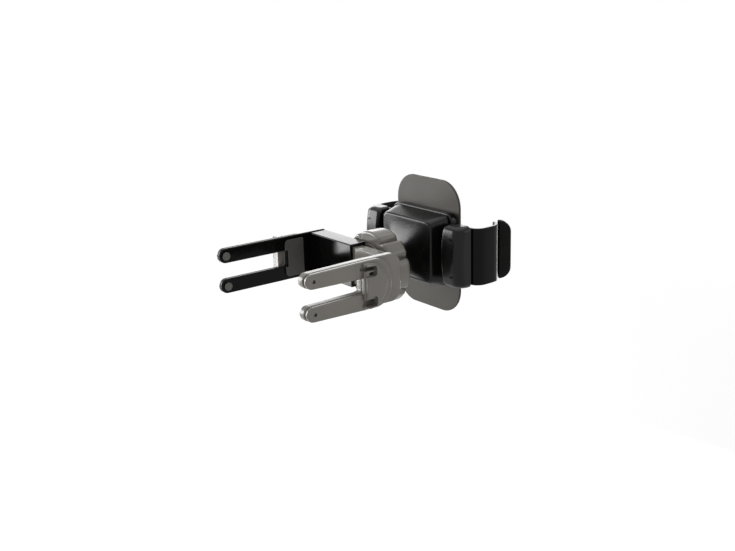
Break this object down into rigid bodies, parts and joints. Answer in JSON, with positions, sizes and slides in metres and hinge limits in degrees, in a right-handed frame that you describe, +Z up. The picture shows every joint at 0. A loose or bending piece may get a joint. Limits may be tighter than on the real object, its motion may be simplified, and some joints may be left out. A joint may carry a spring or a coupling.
{
  "type": "air vent phone holder",
  "caption": "Clip-on phone holder with a fixed and a sliding vent fork, a lockable ball joint and a cradle with two sprung arms that slide together.",
  "frame": {"origin": "middle of the fixed fork's slot root, where the edge of the vent's blade stops", "axes": "-Y points out of the fork's slot into the vent, +Y towards the phone, +Z up along the upright phone, +X from the sliding fork to the fixed fork"},
  "size_m": [0.0778, 0.1125, 0.062],
  "materials": {
    "smoke_grey": "satin smoky dark grey moulding",
    "gloss_black": "high gloss black moulding",
    "satin_black": "satin black moulding",
    "dark_plate": "smooth dark grey sheet",
    "matte_rubber": "matte black rubber",
    "white_nylon": "natural nylon",
    "steel": "plated steel"
  },
  "bodies": {
    "clip": {"clip_body": "smoke_grey", "fixed_fork_cover": "smoke_grey", "fixed_fork_pad": "satin_black", "fixed_stud_upper": "matte_rubber", "fixed_stud_lower": "matte_rubber", "brake_pad": "matte_rubber"},
    "jaw": {"sliding_jaw": "gloss_black", "sliding_fork_cover": "smoke_grey", "sliding_fork_pad": "satin_black", "sliding_stud_upper": "matte_rubber", "sliding_stud_lower": "matte_rubber"},
    "nut": {"clamp_nut": "smoke_grey"},
    "liner": {"friction_liner": "white_nylon"},
    "ball": {"ball": "gloss_black"},
    "cradle": {"rear_housing": "satin_black", "front_shell": "satin_black", "back_plate": "dark_plate", "phone_pad": "matte_rubber", "neck_spindle": "steel", "spindle_screw": "steel", "housing_screw_1": "steel", "housing_screw_2": "steel", "housing_screw_3": "steel", "housing_screw_4": "steel", "left_return_spring": "steel", "right_return_spring": "steel"},
    "right_arm": {"right_arm": "gloss_black", "right_arm_cover": "satin_black", "right_grip_pad": "matte_rubber", "right_lip_boot": "matte_rubber"},
    "left_arm": {"left_arm": "gloss_black", "left_arm_cover": "satin_black", "left_grip_pad": "matte_rubber", "left_lip_boot": "matte_rubber"},
    "pinion": {"sync_pinion": "white_nylon"}
  },
  "joints": [
    {"name": "jaw_slide", "type": "slide", "parent": "clip", "child": "jaw", "axis": [1, 0, 0], "range_m": [-0.01, 0.019]},
    {"name": "nut_turn", "type": "hinge", "parent": "clip", "child": "nut", "pos_m": [-0.023, 0.03, -0.0024], "axis": [0, 1, 0], "range_deg": [0, 180]},
    {"name": "ball_pitch", "type": "hinge", "parent": "clip", "child": "liner", "pos_m": [-0.023, 0.03, -0.0024], "axis": [1, 0, 0], "range_deg": [-16, 16]},
    {"name": "ball_swing", "type": "hinge", "parent": "liner", "child": "ball", "pos_m": [-0.023, 0.03, -0.0024], "axis": [0, 0, 1], "range_deg": [-16, 16]},
    {"name": "cradle_roll", "type": "hinge", "parent": "ball", "child": "cradle", "pos_m": [-0.023, 0.03, -0.0024], "axis": [0, 1, 0], "continuous": true},
    {"name": "right_arm_slide", "type": "slide", "parent": "cradle", "child": "right_arm", "axis": [1, 0, 0], "range_m": [-0.003, 0.009], "stiffness_N_per_m": 600, "deforming": ["right_return_spring"]},
    {"name": "left_arm_slide", "type": "slide", "parent": "cradle", "child": "left_arm", "axis": [-1, 0, 0], "range_m": [-0.003, 0.009], "deforming": ["left_return_spring"]},
    {"name": "pinion_turn", "type": "hinge", "parent": "cradle", "child": "pinion", "pos_m": [-0.023, 0.0515, 0.0035], "axis": [0, 1, 0], "range_deg": [-35, 104]}
  ],
  "couplings": [
    {"joint": "left_arm_slide", "follows": "right_arm_slide", "ratio": 1},
    {"joint": "pinion_turn", "follows": "right_arm_slide", "rad_per_m": 200}
  ]
}
